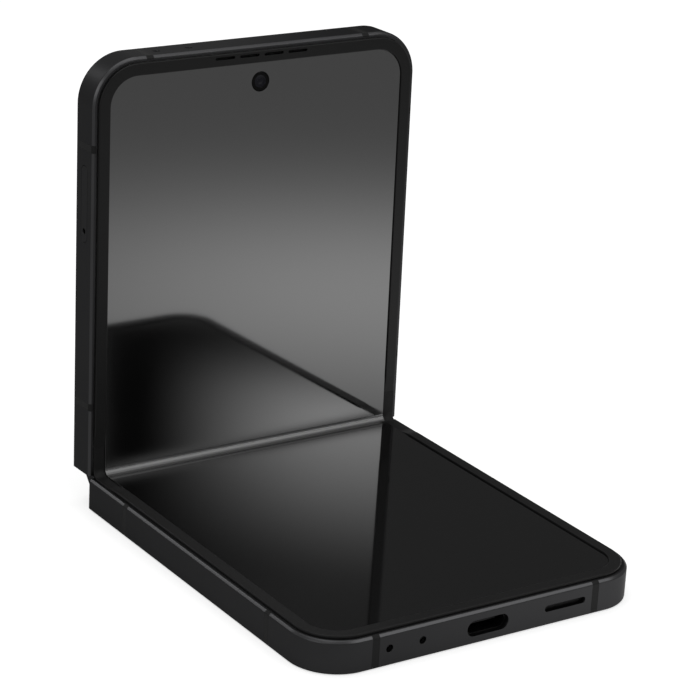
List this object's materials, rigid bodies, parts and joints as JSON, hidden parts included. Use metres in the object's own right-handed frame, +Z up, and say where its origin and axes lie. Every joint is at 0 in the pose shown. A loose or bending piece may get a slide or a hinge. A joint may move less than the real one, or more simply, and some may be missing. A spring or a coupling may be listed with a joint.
{
  "type": "foldable smartphone",
  "caption": "Clamshell phone whose inner display folds across the middle, half open, on a hinge spine with geared sync arms.",
  "frame": {"origin": "middle of the lower half's flat back face", "axes": "+Z up from the back face, +Y along the lower half towards the hinge, +X to the right seen from the socket end"},
  "size_m": [0.0723, 0.0908, 0.0887],
  "materials": {
    "anodised_metal": "near-black anodised, satin",
    "spine_metal": "near-black anodised, satin",
    "antenna_plastic": "matt, flush with the metal",
    "back_glass": "opaque dark glass, matt etched",
    "bezel_plastic": "matt black",
    "fold_trim": "soft matt black",
    "display_film": "glossy film over a dark display",
    "plate_metal": "brushed",
    "hinge_steel": "machined",
    "battery_pack": "black laminated pouch",
    "coil_copper": "copper winding",
    "circuit_board": "solder mask",
    "flat_cable": "polyimide film",
    "shield_steel": "stamped",
    "black_plastic": "moulded black",
    "outer_display_glass": "dark display behind the back glass",
    "lens_glass": "coated, dark",
    "ring_metal": "turned, anodised",
    "flash_lens": "diffusing"
  },
  "bodies": {
    "lower_half": {"lower_frame": "anodised_metal", "lower_antenna_bands": "antenna_plastic", "lower_back_glass": "back_glass", "lower_bezel": "bezel_plastic", "lower_display": "display_film", "lower_midplate": "plate_metal", "lower_hinge_plate": "hinge_steel", "lower_hinge_screws": "hinge_steel", "lower_fold_caps": "fold_trim", "lower_battery": "battery_pack", "charging_coil": "coil_copper", "charging_board": "circuit_board", "socket_shell": "shield_steel", "socket_tongue": "black_plastic", "loudspeaker": "black_plastic", "lower_microphones": "shield_steel", "vibration_motor": "shield_steel", "lower_board_screws": "hinge_steel"},
    "spine": {"spine_cover": "spine_metal", "hinge_blocks": "hinge_steel", "display_fold": "display_film", "hinge_cable": "flat_cable"},
    "upper_half": {"upper_frame": "anodised_metal", "upper_antenna_bands": "antenna_plastic", "upper_back_glass": "back_glass", "upper_bezel": "bezel_plastic", "upper_display": "display_film", "upper_midplate": "plate_metal", "upper_hinge_plate": "hinge_steel", "upper_hinge_screws": "hinge_steel", "upper_fold_caps": "fold_trim", "upper_battery": "battery_pack", "main_board": "circuit_board", "board_shields": "shield_steel", "upper_board_screws": "hinge_steel", "outer_display": "outer_display_glass", "earpiece": "black_plastic", "upper_microphones": "shield_steel", "front_camera": "black_plastic", "front_camera_lens": "lens_glass", "rear_cameras": "black_plastic", "rear_camera_rings": "ring_metal", "rear_camera_lenses": "lens_glass", "flash": "flash_lens", "sim_reader": "shield_steel", "key_switches": "shield_steel"},
    "lower_arms": {"lower_sync_arms": "hinge_steel"},
    "upper_arms": {"upper_sync_arms": "hinge_steel"},
    "lower_idler_gears": {"lower_idlers": "hinge_steel"},
    "upper_idler_gears": {"upper_idlers": "hinge_steel"},
    "sim_tray_body": {"sim_tray": "anodised_metal"},
    "power_key_body": {"power_key": "anodised_metal"},
    "volume_key_body": {"volume_key": "anodised_metal"}
  },
  "joints": [
    {"name": "hinge_lower", "type": "hinge", "parent": "lower_half", "child": "spine", "pos_m": [0, 0.04035, 0.00635], "axis": [1, 0, 0], "range_deg": [-44.5, 45.5], "deforming": ["display_fold", "hinge_cable"]},
    {"name": "hinge_upper", "type": "hinge", "parent": "spine", "child": "upper_half", "pos_m": [0, 0.04135, 0.00733], "axis": [1, 0, 0], "range_deg": [-44.5, 45.5]},
    {"name": "arm_lower", "type": "hinge", "parent": "spine", "child": "lower_arms", "pos_m": [0, 0.04033, 0.00415], "axis": [1, 0, 0], "range_deg": [-45.5, 44.5]},
    {"name": "arm_upper", "type": "hinge", "parent": "spine", "child": "upper_arms", "pos_m": [0, 0.04355, 0.00731], "axis": [1, 0, 0], "range_deg": [-44.5, 45.5]},
    {"name": "idler_lower", "type": "hinge", "parent": "spine", "child": "lower_idler_gears", "pos_m": [0, 0.04164, 0.00494], "axis": [1, 0, 0], "range_deg": [-44.5, 45.5]},
    {"name": "idler_upper", "type": "hinge", "parent": "spine", "child": "upper_idler_gears", "pos_m": [0, 0.04273, 0.00602], "axis": [1, 0, 0], "range_deg": [-45.5, 44.5]},
    {"name": "sim_tray_slide", "type": "slide", "parent": "upper_half", "child": "sim_tray_body", "axis": [-1, 0, 0], "range_m": [0, 0.014]},
    {"name": "power_press", "type": "slide", "parent": "upper_half", "child": "power_key_body", "axis": [-1, 0, 0], "range_m": [0, 0.00025], "stiffness_N_per_m": 4000},
    {"name": "volume_rock", "type": "hinge", "parent": "upper_half", "child": "volume_key_body", "pos_m": [0.03425, 0.04529, 0.05862], "axis": [0, -0.9998, 0.0175], "range_deg": [-1.1, 1.1], "stiffness_Nm_per_rad": 0.6}
  ],
  "couplings": [
    {"joint": "hinge_upper", "follows": "hinge_lower", "ratio": 1},
    {"joint": "arm_lower", "follows": "hinge_lower", "ratio": -1},
    {"joint": "arm_upper", "follows": "hinge_lower", "ratio": 1},
    {"joint": "idler_lower", "follows": "hinge_lower", "ratio": 1},
    {"joint": "idler_upper", "follows": "hinge_lower", "ratio": -1}
  ]
}
